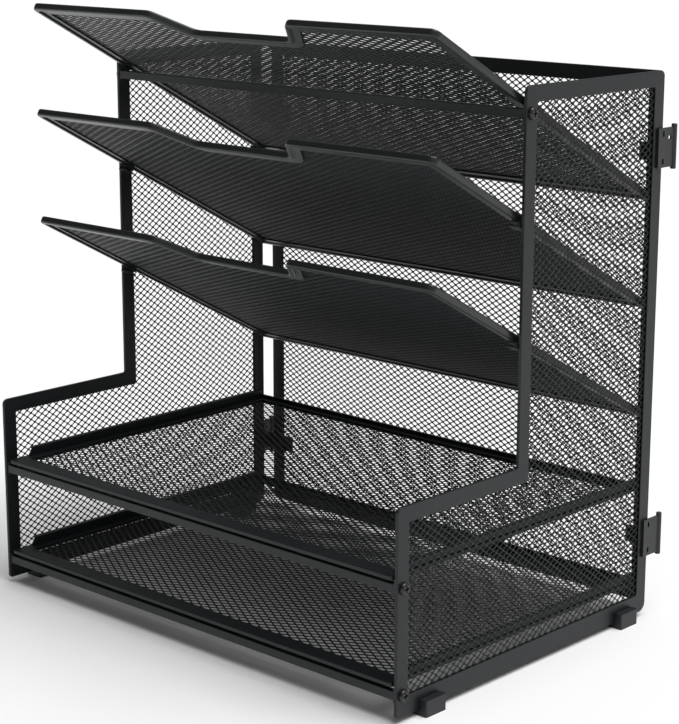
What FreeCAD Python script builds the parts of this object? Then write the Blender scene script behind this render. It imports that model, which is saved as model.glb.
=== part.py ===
"""Desktop file sorter in powder-coated steel mesh.

Two flat trays at the bottom and three sloped shelves above them sit between two L-shaped side panels.
A mesh back panel stands just behind the side panels and hooks over their rear edges.
Everything is in millimetres.
X runs along the width, the front faces -Y and +Z is up. The origin is the bottom centre of the bounding box.
"""
import os
import math
import FreeCAD
import Part

V = FreeCAD.Vector

# side panels
PANEL_OUTER_X = 165.0
STRIP_T = 2.0
PANEL_INNER_X = PANEL_OUTER_X - STRIP_T
PANEL_DEPTH = 229.0
PANEL_H = 327.5
STEP_DEPTH = 100.5
STEP_H = 117.0
STRIP_W = 9.2
BOTTOM_STRIP_W = 11.5
CORNER_R = 3.5
TOE_R = 2.0
HEEL_R = 5.5
WINDOW_R = 1.2
STRIP_EDGE_R = 0.4

# tools that cut a body run past it by this much, and this much counts as touching
OVERCUT = 1.0
TOUCH = 0.05

# mesh sheet held in a groove of its frame
SHEET_T = 0.6
GROOVE_T = 1.0
GROOVE_DEPTH = 2.4
SHEET_GRIP = 2.0

# feet
FOOT_DROP = 3.5
FOOT_OUTER_X = 170.0
FOOT_INNER_X = 156.5
FOOT_LEN = 16.5
FOOT_TOP = 6.0
FOOT_CENTRES_Y = (27.0, 206.0)
FOOT_GAP = 0.3
FOOT_EDGE_R = 0.8

# overall placement
HOOK_REACH = 12.0
OVERALL_DEPTH = PANEL_DEPTH + HOOK_REACH
Y0 = -OVERALL_DEPTH / 2
Z0 = FOOT_DROP

# back panel
BACK_HALF_W = 159.5
BACK_FRONT_Y = 234.6
BACK_T = 2.4
BACK_BOTTOM = 2.0
BACK_TOP = 326.5
BACK_STRIP_W = 9.0
BACK_CORNER_R = 3.0

# hooks that join the back panel to the side panels
HOOK_SHEET = 1.2
HOOK_HEIGHTS = {"lower": 47.0, "upper": 283.0}
HOOK_HALF_H = 11.5
HOOK_EAR_HALF_H = 13.2
HOOK_ROLL_R = 1.7
HOOK_TONGUE_Y = 223.0
HOOK_TONGUE_HALF_H = 10.2
SLOT_CLEAR = 0.3
HOOK_LEG_INNER_X = 143.5
HOOK_LEG_LOW = 9.5
HOOK_LEG_HIGH = 1.0
HOOK_EYE_R = 1.5
HOOK_EYE_Y = 234.3
HOOK_EYE_UP = 5.6
NOTCH_W = 1.6
NOTCH_H = 3.2
NOTCH_Y = 227.0
NOTCH_OFFSET = 8.0

# cross bars and their screws
BAR_DEPTH = 3.8
BAR_H = 5.2
BAR_WALL = 1.1
BAR_TAB_T = 0.9
BAR_TAB_LEN = 8.0
BAR_TAB_HALF_H = 3.8
BAR_END_GAP = 0.3
BARS = {"lower": (0.8, 12.4), "upper": (0.8, 72.3), "top": (100.9, 312.6)}
SCREW_INSET = 4.2
SCREW_HOLE_R = 2.0
SHANK_R = 1.7
SHANK_END_X = 158.0
HEAD_R = 3.5
HEAD_T = 2.3
HEAD_EDGE_R = 1.4
CROSS_LEN = 4.0
CROSS_W = 0.9
CROSS_DEEP = 1.2

# flat trays
TRAY_PLANES = {"lower": 18.0, "upper": 77.5}
TRAY_HALF_W = 160.5
TRAY_FRONT_Y = 0.6
TRAY_BACK_Y = 222.0
TRAY_STRIP_T = 2.4
TRAY_FRONT_W = 11.0
TRAY_SIDE_W = 8.0
TRAY_REAR_W = 6.0
TRAY_WALL_T = 1.4
TRAY_WALL_X = 159.4
TRAY_WALL_H = 6.2
TRAY_REAR_WALL_H = 3.4
TRAY_WALL_FRONT_Y = 14.0
TRAY_WALL_RAMP = 4.0
TRAY_FLANGE_X = 161.4
TRAY_FLANGE_T = 1.2

# sloped shelves
SHELF_FRONT_Z = {"top": 359.0, "middle": 295.0, "low": 228.5}
SHELF_FRONT_Y = 30.0
SHELF_BACK_Y = 227.0
SHELF_SLOPE = math.radians(28.2)
SHELF_LEN = (SHELF_BACK_Y - SHELF_FRONT_Y) / math.cos(SHELF_SLOPE)
SHELF_HALF_W = 160.4
SHELF_LEG_W = 8.5
SHELF_LEG_T = 2.4
SHELF_BEAD_W = 3.8
SHELF_BEAD_T = 4.4
SHELF_BEAD_R = 1.2
SHELF_CORNER_R = 4.5
SHELF_BACK_R = 3.0
SHELF_NOTCH_TOP = 55.0
SHELF_NOTCH_FLOOR = 38.0
SHELF_NOTCH_DEEP = 24.0
SHELF_NOTCH_R = 7.0

# small brackets that hang the two lower sloped shelves at the front posts
HANGER_Y = 104.0
HANGER_LEN = 7.0
HANGER_DROP = 3.4
HANGER_SHEET = 1.0
HANGER_INNER_X = 155.5
HANGER_OUTER_X = 162.7


def box(x0, x1, y0, y1, z0, z1):
    """Box between panel coordinates, where y is from the panel front and z from the panel bottom."""
    return Part.makeBox(x1 - x0, y1 - y0, z1 - z0, V(x0, Y0 + y0, Z0 + z0))


def unit(v):
    """Copy of a vector at length one."""
    return v * (1.0 / v.Length)


def rounded_outline(points, radii):
    """Closed wire through 2D points in the XY plane, with each corner rounded by its own radius."""
    count = len(points)
    corners = [V(x, y, 0) for x, y in points]
    pieces = []
    for i in range(count):
        here = corners[i]
        to_last = unit(corners[i - 1] - here)
        to_next = unit(corners[(i + 1) % count] - here)
        half = to_last.getAngle(to_next) / 2
        run = radii[i] / math.tan(half)
        start = here + to_last * run
        end = here + to_next * run
        middle = here + unit(to_last + to_next) * (radii[i] / math.sin(half) - radii[i])
        pieces.append((start, middle, end))
    edges = []
    for i in range(count):
        start, middle, end = pieces[i]
        edges.append(Part.Arc(start, middle, end).toShape())
        edges.append(Part.makeLine(end, pieces[(i + 1) % count][0]))
    return Part.Wire(edges)


def slab(points, radii, low, high):
    """Rounded outline extruded along local Z from low to high."""
    face = Part.Face(rounded_outline(points, radii))
    face.translate(V(0, 0, low))
    return face.extrude(V(0, 0, high - low))


def rectangle(x0, x1, y0, y1):
    """Corner points of a rectangle, anticlockwise."""
    return [(x0, y0), (x1, y0), (x1, y1), (x0, y1)]


def soften(shape, low, high, radius):
    """Round the edges of a slab that lie in its two flat faces."""
    edges = []
    for edge in shape.Edges:
        b = edge.BoundBox
        flat = b.ZLength < TOUCH
        if flat and min(abs(b.ZMin - low), abs(b.ZMin - high)) < TOUCH:
            edges.append(edge)
    return shape.makeFillet(radius, edges)


def placed(shape, x_axis, y_axis, z_axis, origin):
    """Carry a shape from local axes to the given world axes and origin."""
    m = FreeCAD.Matrix()
    m.A11, m.A21, m.A31 = x_axis
    m.A12, m.A22, m.A32 = y_axis
    m.A13, m.A23, m.A33 = z_axis
    m.A14, m.A24, m.A34 = origin
    moved = shape.copy()
    moved.Placement = FreeCAD.Placement(m)
    return moved


def mirrored(shape):
    """The same piece on the other side of the sorter."""
    return shape.mirror(V(0, 0, 0), V(1, 0, 0))


def side_outline(grow):
    """Corners of a side panel's window, moved outwards by grow."""
    return [
        (STRIP_W - grow, BOTTOM_STRIP_W - grow),
        (PANEL_DEPTH - STRIP_W + grow, BOTTOM_STRIP_W - grow),
        (PANEL_DEPTH - STRIP_W + grow, PANEL_H - STRIP_W + grow),
        (STEP_DEPTH + STRIP_W - grow, PANEL_H - STRIP_W + grow),
        (STEP_DEPTH + STRIP_W - grow, STEP_H - STRIP_W + grow),
        (STRIP_W - grow, STEP_H - STRIP_W + grow),
    ]


def on_right_side(shape):
    """Stand a slab drawn as (depth, height) up in the right side panel, thickness along +X."""
    return placed(shape, (0, 1, 0), (0, 0, 1), (1, 0, 0), (PANEL_INNER_X, Y0, Z0))


def screw_axes():
    """Height and depth of each cross bar's screw."""
    return [(front + SCREW_INSET, height) for front, height in BARS.values()]


def side_frame():
    """Folded strip frame of the right side panel."""
    outer = [
        (0, 0),
        (PANEL_DEPTH, 0),
        (PANEL_DEPTH, PANEL_H),
        (STEP_DEPTH, PANEL_H),
        (STEP_DEPTH, STEP_H),
        (0, STEP_H),
    ]
    outer_r = [TOE_R, HEEL_R, CORNER_R, CORNER_R, WINDOW_R, CORNER_R]
    frame = slab(outer, outer_r, 0, STRIP_T)
    frame = frame.cut(slab(side_outline(0), [WINDOW_R] * len(outer), 0, STRIP_T))
    frame = soften(frame, 0, STRIP_T, STRIP_EDGE_R)
    low = (STRIP_T - GROOVE_T) / 2
    groove = slab(side_outline(GROOVE_DEPTH), [WINDOW_R] * len(outer), low, low + GROOVE_T)
    frame = on_right_side(frame.cut(groove))
    for depth, height in screw_axes():
        start = V(PANEL_INNER_X - OVERCUT, Y0 + depth, Z0 + height)
        frame = frame.cut(Part.makeCylinder(SCREW_HOLE_R, STRIP_T + 2 * OVERCUT, start, V(1, 0, 0)))
    for height in HOOK_HEIGHTS.values():
        half = HOOK_TONGUE_HALF_H + SLOT_CLEAR
        slot_front = HOOK_TONGUE_Y - SLOT_CLEAR
        slot_rear = HOOK_TONGUE_Y + HOOK_SHEET + SLOT_CLEAR
        slot = box(
            PANEL_INNER_X - OVERCUT, PANEL_OUTER_X + OVERCUT, slot_front, slot_rear,
            height - half, height + half,
        )
        frame = frame.cut(slot)
    return frame


def side_sheet():
    """Mesh sheet of the right side panel, gripped by the frame's groove."""
    low = (STRIP_T - SHEET_T) / 2
    outline = side_outline(SHEET_GRIP)
    return on_right_side(slab(outline, [WINDOW_R] * len(outline), low, low + SHEET_T))


def on_back(shape):
    """Stand a slab drawn as (width, height) up in the back panel, thickness towards the front."""
    return placed(shape, (1, 0, 0), (0, 0, 1), (0, -1, 0), (0, Y0 + BACK_FRONT_Y + BACK_T, Z0))


def framed_slab(outer, outer_r, window, thickness):
    """Strip frame around a rectangular window, grooved for its mesh sheet."""
    x0, x1, y0, y1 = window
    frame = slab(outer, outer_r, 0, thickness)
    frame = frame.cut(slab(rectangle(x0, x1, y0, y1), [WINDOW_R] * 4, 0, thickness))
    frame = soften(frame, 0, thickness, STRIP_EDGE_R)
    low = (thickness - GROOVE_T) / 2
    grown = rectangle(x0 - GROOVE_DEPTH, x1 + GROOVE_DEPTH, y0 - GROOVE_DEPTH, y1 + GROOVE_DEPTH)
    return frame.cut(slab(grown, [WINDOW_R] * 4, low, low + GROOVE_T))


def back_window():
    """Limits of the back panel's window as (x0, x1, z0, z1)."""
    half = BACK_HALF_W - BACK_STRIP_W
    return -half, half, BACK_BOTTOM + BACK_STRIP_W, BACK_TOP - BACK_STRIP_W


def back_frame():
    """Folded strip frame of the back panel."""
    outer = rectangle(-BACK_HALF_W, BACK_HALF_W, BACK_BOTTOM, BACK_TOP)
    return on_back(framed_slab(outer, [BACK_CORNER_R] * 4, back_window(), BACK_T))


def back_sheet():
    """Mesh sheet of the back panel."""
    x0, x1, z0, z1 = back_window()
    grown = rectangle(x0 - SHEET_GRIP, x1 + SHEET_GRIP, z0 - SHEET_GRIP, z1 + SHEET_GRIP)
    low = (BACK_T - SHEET_T) / 2
    return on_back(slab(grown, [WINDOW_R] * 4, low, low + SHEET_T))


def hook(height, has_eye):
    """Right-hand hook: a leg from the back panel, a plate over the side strip and a rolled rear ear."""
    outer_x = PANEL_OUTER_X + SLOT_CLEAR + HOOK_SHEET
    plate_x = PANEL_OUTER_X + SLOT_CLEAR
    roll_y = OVERALL_DEPTH - HOOK_ROLL_R
    leg_y = BACK_FRONT_Y + BACK_T
    plate = box(plate_x, outer_x, HOOK_TONGUE_Y, roll_y, height - HOOK_HALF_H, height + HOOK_HALF_H)
    tongue_y = HOOK_TONGUE_Y + HOOK_SHEET
    tongue = box(
        PANEL_INNER_X, plate_x, HOOK_TONGUE_Y, tongue_y,
        height - HOOK_TONGUE_HALF_H, height + HOOK_TONGUE_HALF_H,
    )
    leg = box(
        HOOK_LEG_INNER_X, outer_x, leg_y, leg_y + HOOK_SHEET,
        height - HOOK_LEG_LOW, height + HOOK_LEG_HIGH,
    )
    foot = V((plate_x + outer_x) / 2, Y0 + roll_y, Z0 + height - HOOK_EAR_HALF_H)
    roll = Part.makeCylinder(HOOK_ROLL_R, 2 * HOOK_EAR_HALF_H, foot)
    roll = roll.makeFillet(HOOK_ROLL_R / 3, [e for e in roll.Edges if e.BoundBox.ZLength < TOUCH])
    shape = plate.fuse([tongue, leg, roll]).removeSplitter()
    for side in (-1, 1):
        middle = height + side * NOTCH_OFFSET
        notch = box(
            plate_x - OVERCUT, outer_x + OVERCUT, NOTCH_Y, NOTCH_Y + NOTCH_W,
            middle - NOTCH_H / 2, middle + NOTCH_H / 2,
        )
        shape = shape.cut(notch)
    if has_eye:
        start = V(plate_x - OVERCUT, Y0 + HOOK_EYE_Y, Z0 + height + HOOK_EYE_UP)
        shape = shape.cut(Part.makeCylinder(HOOK_EYE_R, HOOK_SHEET + 2 * OVERCUT, start, V(1, 0, 0)))
    return shape


def cross_bar(front, height):
    """Channel bar, open at the rear, with a bent tab for a screw at each end."""
    low = height - BAR_H / 2
    high = height + BAR_H / 2
    end = PANEL_INNER_X - BAR_END_GAP
    bar = box(-end, end, front, front + BAR_DEPTH, low, high)
    bar = bar.makeFillet(BAR_WALL / 2, [e for e in bar.Edges if e.BoundBox.XLength > end])
    inner = end - BAR_TAB_T
    hollow = box(
        -inner, inner, front + BAR_WALL, front + BAR_DEPTH + OVERCUT,
        low + BAR_WALL, high - BAR_WALL,
    )
    bar = bar.cut(hollow)
    for side in (-1, 1):
        x0, x1 = sorted((side * inner, side * end))
        tab = box(x0, x1, front, front + BAR_TAB_LEN, height - BAR_TAB_HALF_H, height + BAR_TAB_HALF_H)
        bar = bar.fuse(tab)
    for side in (-1, 1):
        start = V(side * (SHANK_END_X - OVERCUT), Y0 + front + SCREW_INSET, Z0 + height)
        bar = bar.cut(Part.makeCylinder(SCREW_HOLE_R, PANEL_OUTER_X - SHANK_END_X, start, V(side, 0, 0)))
    return bar.removeSplitter()


def screw(depth, height):
    """Right-hand pan head screw with a cross recess."""
    at = V(PANEL_OUTER_X, Y0 + depth, Z0 + height)
    head = Part.makeCylinder(HEAD_R, HEAD_T, at, V(1, 0, 0))
    rim = [e for e in head.Edges if e.BoundBox.XMin > PANEL_OUTER_X + HEAD_T / 2]
    head = head.makeFillet(HEAD_EDGE_R, rim)
    face_x = PANEL_OUTER_X + HEAD_T
    long_half = CROSS_LEN / 2
    thin_half = CROSS_W / 2
    for dy, dz in ((long_half, thin_half), (thin_half, long_half)):
        slit = box(
            face_x - CROSS_DEEP, face_x + OVERCUT, depth - dy, depth + dy,
            height - dz, height + dz,
        )
        head = head.cut(slit)
    shank_len = PANEL_OUTER_X - SHANK_END_X
    start = V(SHANK_END_X, Y0 + depth, Z0 + height)
    return head.fuse(Part.makeCylinder(SHANK_R, shank_len, start, V(1, 0, 0))).removeSplitter()


def screws():
    """All six screws as separate solids."""
    right = [screw(depth, height) for depth, height in screw_axes()]
    return Part.makeCompound(right + [mirrored(s) for s in right])


def foot(centre):
    """Right-hand plastic shoe that clips on the bottom strip from below."""
    y0 = centre - FOOT_LEN / 2
    y1 = centre + FOOT_LEN / 2
    shoe = box(FOOT_INNER_X, FOOT_OUTER_X, y0, y1, -FOOT_DROP, FOOT_TOP)
    uprights = [e for e in shoe.Edges if e.BoundBox.ZLength > FOOT_DROP]
    shoe = shoe.makeFillet(FOOT_EDGE_R, uprights)
    inner = PANEL_INNER_X - FOOT_GAP
    outer = PANEL_OUTER_X + FOOT_GAP
    return shoe.cut(box(inner, outer, y0 - OVERCUT, y1 + OVERCUT, -FOOT_GAP, FOOT_TOP + OVERCUT))


def tray_window():
    """Limits of a tray's floor window as (x0, x1, y0, y1)."""
    half = TRAY_HALF_W - TRAY_SIDE_W
    return -half, half, TRAY_FRONT_Y + TRAY_FRONT_W, TRAY_BACK_Y - TRAY_REAR_W


def on_tray(shape, plane):
    """Lay a slab drawn as (width, depth) down as a tray floor."""
    return placed(shape, (1, 0, 0), (0, 1, 0), (0, 0, 1), (0, Y0, Z0 + plane - TRAY_STRIP_T / 2))


def tray_wall(plane):
    """Upright right wall of a tray with its outward flange, ramped down at the front."""
    low = plane
    high = plane + TRAY_WALL_H
    ramp = TRAY_WALL_FRONT_Y + TRAY_WALL_RAMP
    profile = [(TRAY_WALL_FRONT_Y, low), (TRAY_BACK_Y, low), (TRAY_BACK_Y, high), (ramp, high)]
    points = [V(TRAY_WALL_X - TRAY_WALL_T, Y0 + y, Z0 + z) for y, z in profile]
    web = Part.Face(Part.makePolygon(points + points[:1])).extrude(V(TRAY_WALL_T, 0, 0))
    flange = box(TRAY_WALL_X - TRAY_WALL_T, TRAY_FLANGE_X, ramp, TRAY_BACK_Y, high - TRAY_FLANGE_T, high)
    return web.fuse(flange)


def tray_frame(plane):
    """Flat strip frame of a tray with low side walls and a lower lip at the back."""
    outer = rectangle(-TRAY_HALF_W, TRAY_HALF_W, TRAY_FRONT_Y, TRAY_BACK_Y)
    flat = on_tray(framed_slab(outer, [TOE_R] * 4, tray_window(), TRAY_STRIP_T), plane)
    right = tray_wall(plane)
    rear = box(
        -TRAY_WALL_X, TRAY_WALL_X, TRAY_BACK_Y - TRAY_WALL_T, TRAY_BACK_Y,
        plane, plane + TRAY_REAR_WALL_H,
    )
    low = plane - GROOVE_T / 2
    grip_half = TRAY_HALF_W - TRAY_SIDE_W + GROOVE_DEPTH
    grip_back = TRAY_BACK_Y - TRAY_REAR_W + GROOVE_DEPTH
    groove = box(-grip_half, grip_half, TRAY_FRONT_Y + TRAY_FRONT_W, grip_back, low, low + GROOVE_T)
    return flat.fuse([right, mirrored(right), rear]).cut(groove).removeSplitter()


def tray_sheet(plane):
    """Mesh floor of a tray."""
    x0, x1, y0, y1 = tray_window()
    grown = rectangle(x0 - SHEET_GRIP, x1 + SHEET_GRIP, y0 - SHEET_GRIP, y1 + SHEET_GRIP)
    low = (TRAY_STRIP_T - SHEET_T) / 2
    return on_tray(slab(grown, [WINDOW_R] * 4, low, low + SHEET_T), plane)


def on_slope(shape, front_z):
    """Lay a slab drawn as (width, run down the slope) on a shelf's plane."""
    c = math.cos(SHELF_SLOPE)
    s = math.sin(SHELF_SLOPE)
    return placed(shape, (1, 0, 0), (0, c, -s), (0, s, c), (0, Y0 + SHELF_FRONT_Y, Z0 + front_z))


def shelf_outline(inset):
    """Corners of a shelf moved inwards by inset, with the finger notch in its front edge."""
    half = SHELF_HALF_W - inset
    slant = math.hypot(SHELF_NOTCH_TOP - SHELF_NOTCH_FLOOR, SHELF_NOTCH_DEEP)
    lean = (slant - (SHELF_NOTCH_TOP - SHELF_NOTCH_FLOOR)) / SHELF_NOTCH_DEEP
    top = SHELF_NOTCH_TOP + inset * lean
    floor = SHELF_NOTCH_FLOOR + inset * lean
    deep = SHELF_NOTCH_DEEP + inset
    back = SHELF_LEN - inset
    return [
        (-half, inset), (-top, inset), (-floor, deep), (floor, deep),
        (top, inset), (half, inset), (half, back), (-half, back),
    ]


def shelf_radii(inset):
    """Corner radii that go with shelf_outline. Corners that turn inwards keep their centre."""
    front = max(SHELF_CORNER_R - inset, WINDOW_R)
    turn_in = max(SHELF_NOTCH_R - inset, WINDOW_R)
    turn_out = SHELF_NOTCH_R + inset
    back = max(SHELF_BACK_R - inset, WINDOW_R)
    return [front, turn_in, turn_out, turn_out, turn_in, front, back, back]


def shelf_slab(inset, low, high):
    """Shelf-shaped slab, moved inwards by inset."""
    return slab(shelf_outline(inset), shelf_radii(inset), low, high)


def shelf_frame(front_z):
    """Rim of a sloped shelf: a rolled outer bead and a flat inner leg that grips the mesh."""
    bead = shelf_slab(0, -SHELF_BEAD_T / 2, SHELF_BEAD_T / 2)
    bead = bead.cut(shelf_slab(SHELF_BEAD_W, -SHELF_BEAD_T / 2, SHELF_BEAD_T / 2))
    bead = soften(bead, -SHELF_BEAD_T / 2, SHELF_BEAD_T / 2, SHELF_BEAD_R)
    leg = shelf_slab(SHELF_BEAD_W / 2, -SHELF_LEG_T / 2, SHELF_LEG_T / 2)
    leg = leg.cut(shelf_slab(SHELF_LEG_W, -SHELF_LEG_T / 2, SHELF_LEG_T / 2))
    rim = bead.fuse(leg)
    rim = rim.cut(shelf_slab(SHELF_LEG_W - GROOVE_DEPTH, -GROOVE_T / 2, GROOVE_T / 2))
    return on_slope(rim.removeSplitter(), front_z)


def shelf_sheet(front_z):
    """Mesh sheet of a sloped shelf."""
    return on_slope(shelf_slab(SHELF_LEG_W - SHEET_GRIP, -SHEET_T / 2, SHEET_T / 2), front_z)


def hangers(front_z):
    """Pair of small angle brackets under a shelf's side rims, beside the front posts."""
    run = (HANGER_Y - SHELF_FRONT_Y) / math.cos(SHELF_SLOPE)
    top = -SHELF_BEAD_T / 2
    low = top - HANGER_DROP
    wall = Part.makeBox(
        HANGER_SHEET, HANGER_LEN, HANGER_DROP,
        V(HANGER_OUTER_X - HANGER_SHEET, run - HANGER_LEN / 2, low),
    )
    shelf_edge = Part.makeBox(
        HANGER_OUTER_X - SHELF_HALF_W + SHELF_BEAD_W, HANGER_LEN, HANGER_SHEET,
        V(SHELF_HALF_W - SHELF_BEAD_W, run - HANGER_LEN / 2, top - HANGER_SHEET),
    )
    ledge = Part.makeBox(
        HANGER_OUTER_X - HANGER_INNER_X, HANGER_LEN, HANGER_SHEET,
        V(HANGER_INNER_X, run - HANGER_LEN / 2, low),
    )
    right = on_slope(wall.fuse([shelf_edge, ledge]).removeSplitter(), front_z)
    return Part.makeCompound([right, mirrored(right)])


def both_sides(nodes, name, right):
    """Add a right-hand piece and its mirror image as two nodes."""
    nodes[name + "_right"] = right
    nodes[name + "_left"] = mirrored(right)


def build():
    """Every node of the sorter by name."""
    nodes = {}
    both_sides(nodes, "side_frame", side_frame())
    both_sides(nodes, "side_mesh", side_sheet())
    nodes["back_frame"] = back_frame()
    nodes["back_mesh"] = back_sheet()
    for name, height in HOOK_HEIGHTS.items():
        both_sides(nodes, "hook_" + name, hook(height, name == "upper"))
    for name, (front, height) in BARS.items():
        nodes["cross_bar_" + name] = cross_bar(front, height)
    nodes["screws"] = screws()
    for name, centre in zip(("front", "rear"), FOOT_CENTRES_Y):
        both_sides(nodes, "foot_" + name, foot(centre))
    for name, plane in TRAY_PLANES.items():
        nodes["tray_frame_" + name] = tray_frame(plane)
        nodes["tray_mesh_" + name] = tray_sheet(plane)
    for name, front_z in SHELF_FRONT_Z.items():
        nodes["shelf_frame_" + name] = shelf_frame(front_z)
        nodes["shelf_mesh_" + name] = shelf_sheet(front_z)
    for name in ("middle", "low"):
        nodes["hangers_" + name] = hangers(SHELF_FRONT_Z[name])
    return nodes


def main():
    os.makedirs("parts", exist_ok=True)
    for name, shape in build().items():
        shape.exportStep("parts/" + name + ".step")


main()
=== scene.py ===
"""Looks of the desktop file sorter: real open diamond mesh, powder-coated strips, plastic feet. Metres."""
import math

import bpy
import numpy as np
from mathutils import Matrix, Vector


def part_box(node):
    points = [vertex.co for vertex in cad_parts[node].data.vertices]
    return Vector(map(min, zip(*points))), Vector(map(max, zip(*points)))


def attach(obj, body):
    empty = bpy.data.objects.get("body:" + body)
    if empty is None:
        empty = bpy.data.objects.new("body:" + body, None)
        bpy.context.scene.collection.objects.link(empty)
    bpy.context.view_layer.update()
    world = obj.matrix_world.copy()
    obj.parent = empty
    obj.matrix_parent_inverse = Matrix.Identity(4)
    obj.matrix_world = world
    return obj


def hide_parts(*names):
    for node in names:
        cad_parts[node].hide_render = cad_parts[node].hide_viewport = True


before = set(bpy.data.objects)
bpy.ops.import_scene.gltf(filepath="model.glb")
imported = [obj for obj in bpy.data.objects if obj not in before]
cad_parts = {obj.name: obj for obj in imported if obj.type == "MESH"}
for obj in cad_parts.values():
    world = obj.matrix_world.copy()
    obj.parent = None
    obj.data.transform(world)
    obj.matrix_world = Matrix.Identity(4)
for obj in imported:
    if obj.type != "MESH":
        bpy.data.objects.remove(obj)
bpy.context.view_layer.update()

MM = 0.001
SLOPE = math.radians(28.2)

# diamond meshes, in millimetres: long way, short way, strand width, strand thickness, twist of a strand
SIDE_MESH = (5.9, 4.25, 0.56, 0.32, 0.07)
BACK_MESH = (6.1, 3.8, 0.62, 0.32, 0.07)
SHELF_MESH = (8.1, 4.8, 0.95, 0.48, 0.17)
MESH_SPECULAR = 0.36

# how far a hole's pointed ends are cut back, in millimetres, and how much of a strand's twist its tips take
BLUNT_X = 0.42
BLUNT_Y = 0.34
TIP_TWIST = 0.35

# of this many parts of a sheet, how many take the first tone and how many the first two
TONE_PARTS = 12
FIRST_TONE = 8
FIRST_TWO_TONES = 10

# spare rows and columns round a sheet, and how far past the shared column the halves of the back sheet reach
SPARE = 6
SEAM_MARGIN = 0.1

# how far the mesh runs under the strips and the CAD sheets do, in millimetres
UNDER_STRIP = 2.8
SHEET_GRIP = 2.0
SHELF_END_GAP = 0.2

# floor and light
FLOOR_HALF = 80.0
FLOOR_WHITE = 0.93
DOME_TOWARDS = (0.55, 0.65, 0.45)
DOME_RANGE = (-0.55, 0.75)
DOME_DIM = 0.12
DOME_BRIGHT = 0.42
SUN = 2.7
SUN_ANGLE = 50
SUN_TOWARDS = (0.35, 0.1, 1)

# camera: place in metres, tilt in degrees, lens and film in millimetres
CAMERA_AT = (0.81955, -0.86783, 0.43454)
CAMERA_TURN = (90 - 13.373, -0.103, 42.993)
CAMERA_LENS = 100.0
CAMERA_FILM = 36.0
CAMERA_FAR = 300

# strips that cover the edges of the mesh, in millimetres
SIDE_STRIP = 9.2
SIDE_BOTTOM_STRIP = 11.5
SIDE_STEP_DEPTH = 100.5
SIDE_STEP_H = 117.0
BACK_STRIP = 9.0
SHELF_RIM = 8.5
NOTCH_TOP = 59.4
NOTCH_FLOOR = 42.4
NOTCH_DEEP = 32.5


# ---------------------------------------------------------------- materials

def node(tree, kind, at, **values):
    """Adds a shader node and sets its named inputs."""
    n = tree.nodes.new(kind)
    n.location = at
    for name, value in values.items():
        n.inputs[name.replace("_", " ")].default_value = value
    return n


def coated(name, dark, light, rough, rough_spread, grain_size, grain_depth, specular=0.5):
    """Powder-coated steel or moulded plastic: faint mottling, uneven gloss and a fine orange-peel grain."""
    mat = bpy.data.materials.new(name)
    mat.use_nodes = True
    t = mat.node_tree
    bsdf = t.nodes["Principled BSDF"]
    bsdf.inputs["Specular IOR Level"].default_value = specular
    where = node(t, "ShaderNodeTexCoord", (-1200, 0))
    mottle = node(t, "ShaderNodeTexNoise", (-900, 200), Scale=70.0, Detail=4.0, Roughness=0.6)
    tone = t.nodes.new("ShaderNodeMix")
    tone.data_type = "RGBA"
    tone.inputs["A"].default_value = (*dark, 1)
    tone.inputs["B"].default_value = (*light, 1)
    gloss = node(t, "ShaderNodeTexNoise", (-900, -100), Scale=260.0, Detail=3.0, Roughness=0.55)
    spread = t.nodes.new("ShaderNodeMapRange")
    spread.inputs["To Min"].default_value = rough - rough_spread
    spread.inputs["To Max"].default_value = rough + rough_spread
    grain = node(t, "ShaderNodeTexNoise", (-900, -400), Scale=1 / grain_size, Detail=2.0, Roughness=0.5)
    bump = node(t, "ShaderNodeBump", (-400, -400), Strength=0.5, Distance=grain_depth)
    for noise in (mottle, gloss, grain):
        t.links.new(where.outputs["Object"], noise.inputs["Vector"])
    t.links.new(mottle.outputs["Fac"], tone.inputs["Factor"])
    t.links.new(tone.outputs["Result"], bsdf.inputs["Base Color"])
    t.links.new(gloss.outputs["Fac"], spread.inputs["Value"])
    t.links.new(spread.outputs["Result"], bsdf.inputs["Roughness"])
    t.links.new(grain.outputs["Fac"], bump.inputs["Height"])
    t.links.new(bump.outputs["Normal"], bsdf.inputs["Normal"])
    return mat


def plain_coat(name, colour, rough):
    """One tone of the coating on a strand of mesh, too small to show any grain of its own."""
    mat = bpy.data.materials.new(name)
    mat.use_nodes = True
    bsdf = mat.node_tree.nodes["Principled BSDF"]
    bsdf.inputs["Base Color"].default_value = (*colour, 1)
    bsdf.inputs["Roughness"].default_value = rough
    bsdf.inputs["Specular IOR Level"].default_value = MESH_SPECULAR
    return mat


STRIP_COAT = coated(
    "powder_coat_strip", (0.0045, 0.0070, 0.0082), (0.0080, 0.0112, 0.0126),
    rough=0.42, rough_spread=0.07, grain_size=0.0009, grain_depth=0.00003, specular=0.4,
)
RIM_COAT = coated(
    "powder_coat_rim", (0.0050, 0.0070, 0.0078), (0.0085, 0.0108, 0.0116),
    rough=0.3, rough_spread=0.05, grain_size=0.0009, grain_depth=0.00002, specular=0.55,
)
BRACKET_COAT = coated(
    "powder_coat_bracket", (0.008, 0.009, 0.0095), (0.013, 0.014, 0.0145),
    rough=0.4, rough_spread=0.06, grain_size=0.0009, grain_depth=0.00003,
)
SCREW_COAT = coated(
    "blackened_screw", (0.006, 0.006, 0.007), (0.011, 0.011, 0.012),
    rough=0.28, rough_spread=0.06, grain_size=0.0006, grain_depth=0.00002,
)
FOOT_PLASTIC = coated(
    "foot_plastic", (0.009, 0.010, 0.012), (0.014, 0.015, 0.018),
    rough=0.5, rough_spread=0.06, grain_size=0.0007, grain_depth=0.00003,
)
MESH_TONES = [
    plain_coat("mesh_coat_a", (0.0060, 0.0080, 0.0092), 0.44),
    plain_coat("mesh_coat_b", (0.0085, 0.0105, 0.0118), 0.40),
    plain_coat("mesh_coat_c", (0.0045, 0.0062, 0.0072), 0.48),
]


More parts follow.
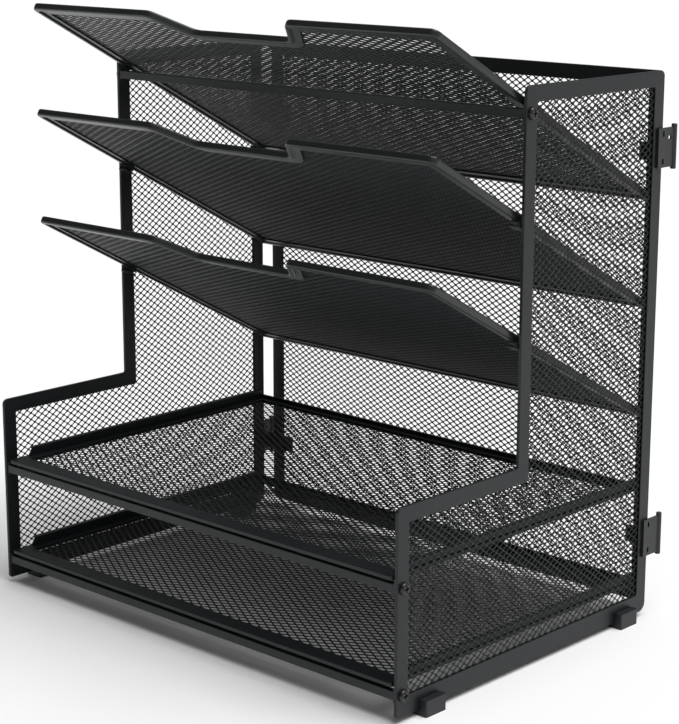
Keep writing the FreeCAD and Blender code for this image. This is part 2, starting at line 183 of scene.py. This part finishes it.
# ---------------------------------------------------------------- diamond mesh

def hole_corners(a, b, strand, tilt):
    """Eight corners round a hole's centre, with their height, anticlockwise from its right tip."""
    pitch = a * b / math.hypot(a, b)
    k = 1 - strand / 2 / pitch
    hx, hy = a * k, b * k
    tip = (hx - BLUNT_X, BLUNT_X * hy / hx)
    top = (BLUNT_Y * hx / hy, hy - BLUNT_Y)
    flat = [
        (tip[0], tip[1]), (top[0], top[1]), (-top[0], top[1]), (-tip[0], tip[1]),
        (-tip[0], -tip[1]), (-top[0], -top[1]), (top[0], -top[1]), (tip[0], -tip[1]),
    ]
    twist = [TIP_TWIST, 1, 1, TIP_TWIST, -TIP_TWIST, -1, -1, -TIP_TWIST]
    return np.array([(x, y, s * tilt) for (x, y), s in zip(flat, twist)])


def diamond_sheet(name, replaced, pattern, span, inside, place, seed):
    """Expanded sheet of strands and knuckles over span = (u0, u1, v0, v1), kept where inside(u, v)."""
    long_way, short_way, strand, thick, tilt = pattern
    a, b = long_way / 2, short_way / 2
    u0, u1, v0, v1 = span
    ni = int((u1 - u0) / a) + SPARE
    nj = int((v1 - v0) / b) + SPARE
    start_u = (u0 + u1) / 2 - ni * a / 2
    start_v = (v0 + v1) / 2 - nj * b / 2
    i, j = np.meshgrid(np.arange(ni), np.arange(nj), indexing="ij")
    u = start_u + i * a
    v = start_v + j * b
    knuckle = ((i + j) % 2 == 0) & inside(u, v)
    knuckle[:1] = knuckle[-1:] = False
    knuckle[:, :1] = knuckle[:, -1:] = False
    near = np.zeros_like(knuckle)
    near[1:] |= knuckle[:-1]
    near[:-1] |= knuckle[1:]
    near[:, 1:] |= knuckle[:, :-1]
    near[:, :-1] |= knuckle[:, 1:]
    hole = near & ((i + j) % 2 == 1)
    index = np.full(hole.shape, -1)
    index[hole] = np.arange(hole.sum())
    count = int(hole.sum())
    corners = hole_corners(a, b, strand, tilt)
    middle = np.stack([u[hole], v[hole], np.zeros(count)], 1)
    front = middle[:, None, :] + corners[None]
    back = front.copy()
    front[..., 2] += thick / 2
    back[..., 2] -= thick / 2
    points = np.concatenate([front.reshape(-1, 3), back.reshape(-1, 3)])
    under = count * 8

    ki, kj = np.nonzero(knuckle)
    up, right = index[ki, kj + 1] * 8, index[ki + 1, kj] * 8
    down, left = index[ki, kj - 1] * 8, index[ki - 1, kj] * 8
    rim = [right + 3, up + 6, up + 5, left + 0, left + 7, down + 2, down + 1, right + 4]
    knuckles = np.stack(rim, 1)
    goes_right = knuckle[ki + 1, kj + 1]
    rising = np.stack([right + 3, right + 2, up + 7, up + 6], 1)[goes_right]
    goes_left = knuckle[ki - 1, kj + 1]
    falling = np.stack([up + 5, up + 4, left + 1, left + 0], 1)[goes_left]
    strands = np.concatenate([rising, falling])
    hi, hj = np.nonzero(hole)
    closed = knuckle[hi + 1, hj] & knuckle[hi - 1, hj] & knuckle[hi, hj + 1] & knuckle[hi, hj - 1]
    first = index[hi, hj][closed] * 8
    walls = np.concatenate([
        np.stack([first + k, first + (k + 1) % 8, under + first + (k + 1) % 8, under + first + k], 1)
        for k in range(8)
    ])
    eights = np.concatenate([knuckles, knuckles[:, ::-1] + under])
    fours = np.concatenate([strands, strands[:, ::-1] + under, walls])

    mesh = bpy.data.meshes.new(name)
    mesh.vertices.add(len(points))
    mesh.vertices.foreach_set("co", (place(points) * MM).astype(np.float32).ravel())
    loops = np.concatenate([eights.ravel(), fours.ravel()])
    sizes = np.concatenate([np.full(len(eights), 8), np.full(len(fours), 4)])
    mesh.loops.add(len(loops))
    mesh.loops.foreach_set("vertex_index", loops.astype(np.int32))
    mesh.polygons.add(len(sizes))
    mesh.polygons.foreach_set("loop_start", (np.cumsum(sizes) - sizes).astype(np.int32))
    for tone in MESH_TONES:
        mesh.materials.append(tone)
    pick = np.random.default_rng(seed).integers(0, TONE_PARTS, len(sizes))
    tones = np.select([pick < FIRST_TONE, pick < FIRST_TWO_TONES], [0, 1], 2)
    mesh.polygons.foreach_set("material_index", tones.astype(np.int32))
    mesh.update(calc_edges=True)
    mesh.validate()
    ob = bpy.data.objects.new(name, mesh)
    bpy.context.collection.objects.link(ob)
    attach(ob, "root")
    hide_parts(replaced)
    return ob


def corner_box(name):
    """Lowest and highest corner of a CAD node, in millimetres."""
    low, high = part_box(name)
    return np.array(low) / MM, np.array(high) / MM


def side_sheet(side, seed):
    """Mesh of one side panel, an L with its step at the front."""
    low, high = corner_box("side_frame_" + side)
    x = (low[0] + high[0]) / 2
    g = UNDER_STRIP
    y0, y1 = low[1] + SIDE_STRIP - g, high[1] - SIDE_STRIP + g
    z0, z1 = low[2] + SIDE_BOTTOM_STRIP - g, high[2] - SIDE_STRIP + g
    step_y = low[1] + SIDE_STEP_DEPTH + SIDE_STRIP - g
    step_z = low[2] + SIDE_STEP_H - SIDE_STRIP + g

    def inside(u, v):
        whole = (u > y0) & (u < y1) & (v > z0) & (v < z1)
        return whole & ((u > step_y) | (v < step_z))

    def place(p):
        return np.stack([x + p[:, 2], p[:, 0], p[:, 1]], 1)

    span = (y0, y1, z0, z1)
    return diamond_sheet("side_sheet_" + side, "side_mesh_" + side, SIDE_MESH, span, inside, place, seed)


def back_sheet(half, seed):
    """Left or right half of the back panel's mesh. The halves share one column of strands in the middle."""
    low, high = corner_box("back_frame")
    y = (low[1] + high[1]) / 2
    g = BACK_STRIP - UNDER_STRIP
    x0, x1, z0, z1 = low[0] + g, high[0] - g, low[2] + g, high[2] - g
    seam = (x0 + x1) / 2
    column = BACK_MESH[0] / 2
    left_end = x0 if half == "left" else seam - (1 + SEAM_MARGIN) * column
    right_end = x1 if half == "right" else seam + SEAM_MARGIN * column

    def inside(u, v):
        return (u > left_end) & (u < right_end) & (v > z0) & (v < z1)

    def place(p):
        return np.stack([p[:, 0], y - p[:, 2], p[:, 1]], 1)

    span = (x0, x1, z0, z1)
    return diamond_sheet("back_sheet_" + half, "back_mesh", BACK_MESH, span, inside, place, seed)


def tray_sheet(which, seed):
    """Mesh floor of a flat tray."""
    low, high = corner_box("tray_mesh_" + which)
    z = (low[2] + high[2]) / 2
    g = UNDER_STRIP - SHEET_GRIP
    x0, x1, y0, y1 = low[0] - g, high[0] + g, low[1] - g, high[1] + g

    def inside(u, v):
        return (u > x0) & (u < x1) & (v > y0) & (v < y1)

    def place(p):
        return np.stack([p[:, 0], p[:, 1], z + p[:, 2]], 1)

    span = (x0, x1, y0, y1)
    return diamond_sheet("tray_sheet_" + which, "tray_mesh_" + which, SHELF_MESH, span, inside, place, seed)


def shelf_sheet(which, seed):
    """Mesh of a sloped shelf, notched at the front like its rim."""
    low, high = corner_box("shelf_mesh_" + which)
    mid = (low + high) / 2
    c, s = math.cos(SLOPE), math.sin(SLOPE)
    half_run = (high[1] - low[1]) / 2 / c - SHELF_END_GAP
    edge = SHEET_GRIP
    g = UNDER_STRIP
    half_w = (high[0] - low[0]) / 2 - edge + g
    front = -half_run + edge
    back = half_run - edge

    def inside(u, v):
        from_front = v - front
        lean = (NOTCH_TOP - NOTCH_FLOOR) / (NOTCH_DEEP - SHELF_RIM)
        notch_edge = NOTCH_TOP - lean * from_front - g * math.hypot(1, lean)
        notch = (np.abs(u) < notch_edge) & (from_front < NOTCH_DEEP - SHELF_RIM - g)
        return (np.abs(u) < half_w) & (v > front - g) & (v < back + g) & ~notch

    def place(p):
        y = mid[1] + p[:, 1] * c + p[:, 2] * s
        z = mid[2] - p[:, 1] * s + p[:, 2] * c
        return np.stack([mid[0] + p[:, 0], y, z], 1)

    span = (-half_w, half_w, front - g, back + g)
    return diamond_sheet("shelf_sheet_" + which, "shelf_mesh_" + which, SHELF_MESH, span, inside, place, seed)


side_sheet("right", 1)
side_sheet("left", 2)
back_sheet("left", 3)
back_sheet("right", 9)
tray_sheet("lower", 4)
tray_sheet("upper", 5)
for seed, which in enumerate(("low", "middle", "top"), 6):
    shelf_sheet(which, seed)


# ---------------------------------------------------------------- strips, brackets, screws and feet

def repaint(name, mat):
    """Gives a CAD node the finish mat."""
    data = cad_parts[name].data
    data.materials.clear()
    data.materials.append(mat)


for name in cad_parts:
    if name.startswith("foot"):
        repaint(name, FOOT_PLASTIC)
    elif name == "screws":
        repaint(name, SCREW_COAT)
    elif name.startswith(("hook", "hangers")):
        repaint(name, BRACKET_COAT)
    elif name.startswith("shelf_frame"):
        repaint(name, RIM_COAT)
    elif "mesh" not in name:
        repaint(name, STRIP_COAT)


# ---------------------------------------------------------------- floor, light and camera

def floor():
    """Pale floor under the feet."""
    h = FLOOR_HALF
    mesh = bpy.data.meshes.new("studio_floor")
    mesh.from_pydata([(-h, -h, 0), (h, -h, 0), (h, h, 0), (-h, h, 0)], [], [(0, 1, 2, 3)])
    ob = bpy.data.objects.new("studio_floor", mesh)
    bpy.context.collection.objects.link(ob)
    mat = bpy.data.materials.new("studio_floor")
    mat.use_nodes = True
    bsdf = mat.node_tree.nodes["Principled BSDF"]
    bsdf.inputs["Base Color"].default_value = (FLOOR_WHITE, FLOOR_WHITE, FLOOR_WHITE, 1)
    bsdf.inputs["Roughness"].default_value = 0.9
    bsdf.inputs["Specular IOR Level"].default_value = 0.1
    mesh.materials.append(mat)


def dome():
    """White studio dome, bright behind and to the right of the sorter and dim on the front left."""
    world = bpy.data.worlds.new("studio")
    bpy.context.scene.world = world
    world.use_nodes = True
    t = world.node_tree
    t.nodes["Background"].inputs["Color"].default_value = (1, 1, 1, 1)
    where = t.nodes.new("ShaderNodeTexCoord")
    side = t.nodes.new("ShaderNodeVectorMath")
    side.operation = "DOT_PRODUCT"
    side.inputs[1].default_value = Vector(DOME_TOWARDS).normalized()
    ramp = t.nodes.new("ShaderNodeMapRange")
    ramp.interpolation_type = "SMOOTHSTEP"
    ramp.inputs["From Min"].default_value = DOME_RANGE[0]
    ramp.inputs["From Max"].default_value = DOME_RANGE[1]
    ramp.inputs["To Min"].default_value = DOME_DIM
    ramp.inputs["To Max"].default_value = DOME_BRIGHT
    t.links.new(where.outputs["Generated"], side.inputs[0])
    t.links.new(side.outputs["Value"], ramp.inputs["Value"])
    t.links.new(ramp.outputs["Result"], t.nodes["Background"].inputs["Strength"])


def soft_sun():
    """Wide, soft light from above."""
    data = bpy.data.lights.new("soft_sun", "SUN")
    data.angle = math.radians(SUN_ANGLE)
    data.energy = SUN
    ob = bpy.data.objects.new("soft_sun", data)
    bpy.context.collection.objects.link(ob)
    ob.rotation_euler = Vector(SUN_TOWARDS).to_track_quat("Z", "Y").to_euler()


def camera():
    """Camera in front of the sorter's right corner, a little above it."""
    data = bpy.data.cameras.new("photo_camera")
    data.sensor_fit = "VERTICAL"
    data.sensor_height = CAMERA_FILM
    data.lens = CAMERA_LENS
    data.clip_end = CAMERA_FAR
    ob = bpy.data.objects.new("photo_camera", data)
    bpy.context.collection.objects.link(ob)
    ob.location = CAMERA_AT
    ob.rotation_euler = [math.radians(a) for a in CAMERA_TURN]
    bpy.context.scene.camera = ob


floor()
dome()
soft_sun()
camera()
bpy.context.scene.view_settings.view_transform = "Standard"
